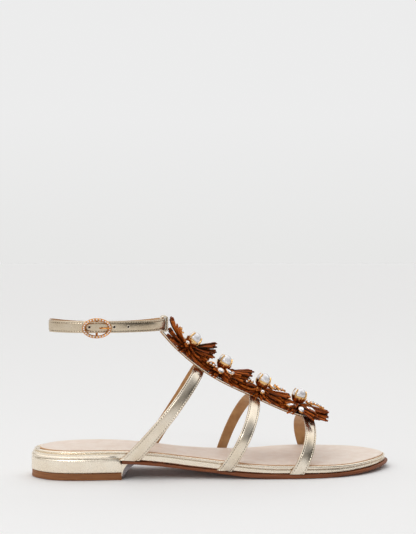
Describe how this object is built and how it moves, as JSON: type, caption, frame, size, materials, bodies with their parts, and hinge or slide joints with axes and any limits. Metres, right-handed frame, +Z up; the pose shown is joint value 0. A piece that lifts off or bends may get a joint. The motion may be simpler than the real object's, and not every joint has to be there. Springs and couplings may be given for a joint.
{
  "type": "gladiator sandal",
  "caption": "Flat gladiator sandal for a right foot in gold leather, with an instep bar carrying four raffia flowers with pearls, an ankle strap with an oval buckle and a low heel.",
  "frame": {"origin": "on the floor, under the middle of the heel's floor face", "axes": "+X towards the toe, +Y towards the inner (medial) side of the foot, +Z up"},
  "size_m": [0.2498, 0.0802, 0.1084],
  "materials": {
    "gold_leather": "metallic foil leather, glossy with soft creases, edge stitched",
    "sock_leather": "smooth matt beige sock leather",
    "brown_sole": "matt brown moulded sole",
    "raffia": "glossy red brown raffia strips",
    "pearl": "silver white imitation pearl",
    "setting_metal": "polished gold plate",
    "buckle_metal": "polished rose gold plate, set with small stones",
    "crystal": "clear cut stones with foiled backs"
  },
  "bodies": {
    "root": {"heel_toplift": "brown_sole", "heel_block": "gold_leather", "outsole": "brown_sole", "midsole": "gold_leather", "insole_board": "gold_leather", "insole_sock": "sock_leather", "upper_straps": "gold_leather", "ankle_strap": "gold_leather", "buckle_frame": "buckle_metal", "buckle_prong": "buckle_metal", "petals_lower_1": "raffia", "petals_middle_1": "raffia", "petals_upper_1": "raffia", "crystal_spray_1": "crystal", "pearl_cup_1": "setting_metal", "pearl_1": "pearl", "petals_lower_2": "raffia", "petals_middle_2": "raffia", "petals_upper_2": "raffia", "crystal_spray_2": "crystal", "pearl_cup_2": "setting_metal", "pearl_2": "pearl", "petals_lower_3": "raffia", "petals_middle_3": "raffia", "petals_upper_3": "raffia", "crystal_spray_3": "crystal", "pearl_cup_3": "setting_metal", "pearl_3": "pearl", "petals_lower_4": "raffia", "petals_middle_4": "raffia", "petals_upper_4": "raffia", "crystal_spray_4": "crystal", "pearl_cup_4": "setting_metal", "pearl_4": "pearl"}
  },
  "joints": []
}
